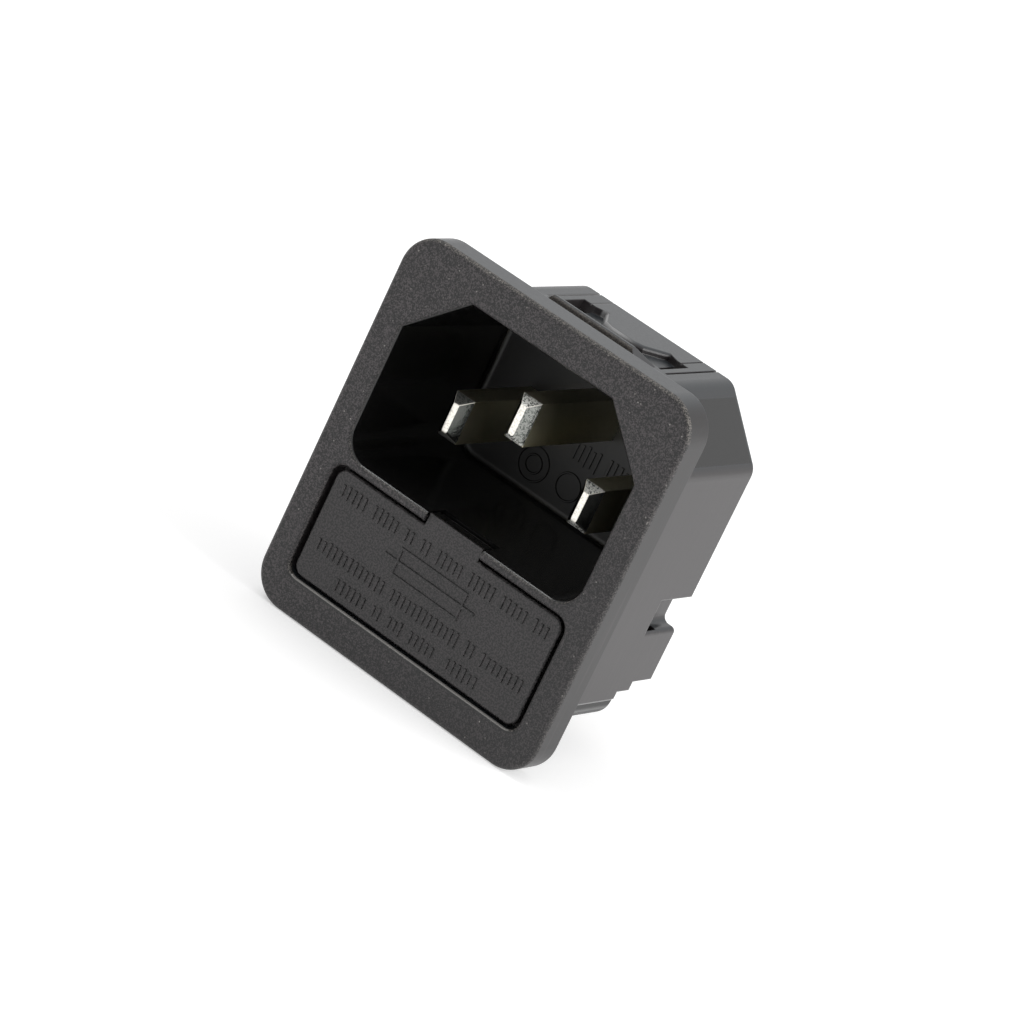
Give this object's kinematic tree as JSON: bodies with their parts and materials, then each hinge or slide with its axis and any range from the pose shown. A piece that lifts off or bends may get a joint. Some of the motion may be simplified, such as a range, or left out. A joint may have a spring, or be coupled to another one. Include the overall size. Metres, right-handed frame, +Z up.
{
  "type": "panel inlet socket",
  "caption": "Snap-in C14 appliance inlet for a panel: rounded flange, keyed socket with solid blades, fuse drawer below, quick-connect tabs behind.",
  "frame": {"origin": "middle of the flange's rear face, in the plane that seats on the panel", "axes": "+X right seen from the front, +Y into the panel, +Z up towards the keyed shoulders of the socket"},
  "size_m": [0.03, 0.0279, 0.034],
  "materials": {
    "moulding_black": "spark-textured face, satin sides",
    "drawer_black": "fine satin",
    "plate_black": "satin",
    "nickel": "bright nickel plate",
    "tinned_brass": "tin plate",
    "spring_brass": "bare spring brass",
    "fuse_glass": "clear",
    "fuse_wire": "drawn wire"
  },
  "bodies": {
    "inlet": {"housing": "moulding_black", "terminal_plate": "plate_black", "line_blade": "nickel", "neutral_blade": "nickel", "earth_blade": "nickel", "neutral_tab": "tinned_brass", "earth_tab": "tinned_brass", "line_tab": "tinned_brass", "supply_contact": "spring_brass", "load_contact": "spring_brass", "load_strap": "tinned_brass"},
    "drawer": {"fuse_drawer": "drawer_black", "working_fuse_glass": "fuse_glass", "working_fuse_cap_left": "nickel", "working_fuse_cap_right": "nickel", "working_fuse_element": "fuse_wire", "spare_fuse_glass": "fuse_glass", "spare_fuse_cap_left": "nickel", "spare_fuse_cap_right": "nickel", "spare_fuse_element": "fuse_wire"}
  },
  "joints": [
    {"name": "drawer_slide", "type": "slide", "parent": "inlet", "child": "drawer", "axis": [0, -1, 0], "range_m": [0, 0.0128]}
  ]
}
